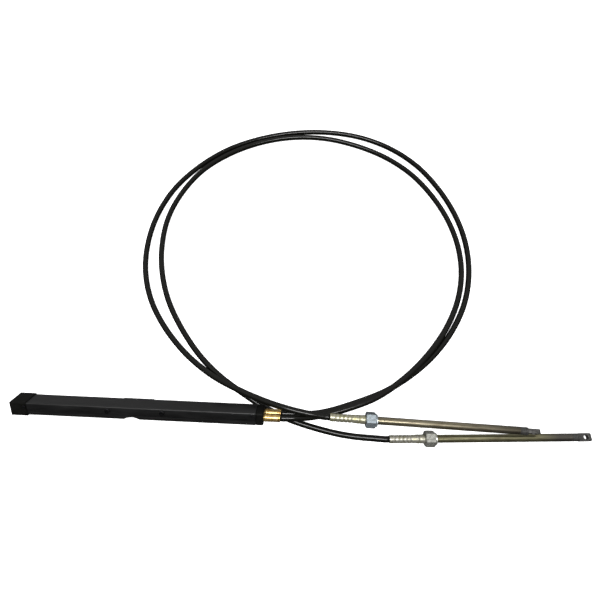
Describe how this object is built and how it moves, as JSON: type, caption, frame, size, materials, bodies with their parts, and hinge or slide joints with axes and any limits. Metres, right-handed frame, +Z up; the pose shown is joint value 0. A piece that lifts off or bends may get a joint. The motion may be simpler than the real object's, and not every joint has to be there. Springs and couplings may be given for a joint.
{
  "type": "boat steering cable",
  "caption": "Rack-type push-pull boat steering cable: square rack housing, jacketed cables lying in one large loop, and sliding output rams with flattened, drilled tips.",
  "frame": {"origin": "on the floor under the middle of the rigid pieces, which is everything but the cables", "axes": "+X along the rack housing from its closed end towards the rams, +Y towards the loop of cable, +Z up from the floor"},
  "size_m": [1.1902, 0.8475, 0.051],
  "materials": {
    "housing_paint": "satin black with fine lengthwise streaks",
    "cap_plastic": "matte black, moulded",
    "dark_steel": "blackened steel",
    "brass": "turned, lightly polished",
    "bar_steel": "bare machined steel",
    "cable_jacket": "smooth extruded black plastic with a narrow gloss",
    "hub_zinc": "yellow zinc plating",
    "nut_plate": "bright, slightly blue plating",
    "ram_stainless": "drawn stainless tube",
    "tip_steel": "darker forged steel"
  },
  "bodies": {
    "rack_and_cables": {"rack_housing": "housing_paint", "end_cap_left": "cap_plastic", "end_cap_right": "cap_plastic", "helm_screw_1": "dark_steel", "helm_screw_2": "dark_steel", "cap_screw": "dark_steel", "housing_pin_1": "dark_steel", "housing_pin_2": "dark_steel", "cable_fitting_1": "brass", "cable_fitting_2": "brass", "hub_1": "hub_zinc", "hub_2": "hub_zinc", "guide_tube_1": "bar_steel", "guide_tube_2": "bar_steel", "cable_1": "cable_jacket", "cable_2": "cable_jacket"},
    "rack_bar_1": {"rack_bar_1": "bar_steel"},
    "rack_bar_2": {"rack_bar_2": "bar_steel"},
    "nut_1": {"coupling_nut_1": "nut_plate"},
    "nut_2": {"coupling_nut_2": "nut_plate"},
    "ram_1": {"ram_tube_1": "ram_stainless", "ram_tip_1": "tip_steel"},
    "ram_2": {"ram_tube_2": "ram_stainless", "ram_tip_2": "tip_steel"}
  },
  "joints": [
    {"name": "ram_1_slide", "type": "slide", "parent": "rack_and_cables", "child": "ram_1", "axis": [0.9997, -0.0162, -0.0195], "range_m": [-0.009, 0.22]},
    {"name": "ram_2_slide", "type": "slide", "parent": "rack_and_cables", "child": "ram_2", "axis": [0.9978, 0.0624, -0.0214], "range_m": [0, 0.229]},
    {"name": "rack_bar_1_slide", "type": "slide", "parent": "rack_and_cables", "child": "rack_bar_1", "axis": [1, 0.003, 0.0087], "range_m": [-0.009, 0.22]},
    {"name": "rack_bar_2_slide", "type": "slide", "parent": "rack_and_cables", "child": "rack_bar_2", "axis": [1, 0.003, 0.0087], "range_m": [0, 0.229]},
    {"name": "nut_1_spin", "type": "hinge", "parent": "rack_and_cables", "child": "nut_1", "pos_m": [0.13217, 0.0115, 0.03359], "axis": [0.9997, -0.0162, -0.0195], "continuous": true},
    {"name": "nut_2_spin", "type": "hinge", "parent": "rack_and_cables", "child": "nut_2", "pos_m": [0.25404, -0.01761, 0.01473], "axis": [0.9978, 0.0624, -0.0214], "continuous": true}
  ],
  "couplings": [
    {"joint": "rack_bar_1_slide", "follows": "ram_1_slide", "ratio": 1},
    {"joint": "rack_bar_2_slide", "follows": "ram_2_slide", "ratio": 1}
  ]
}
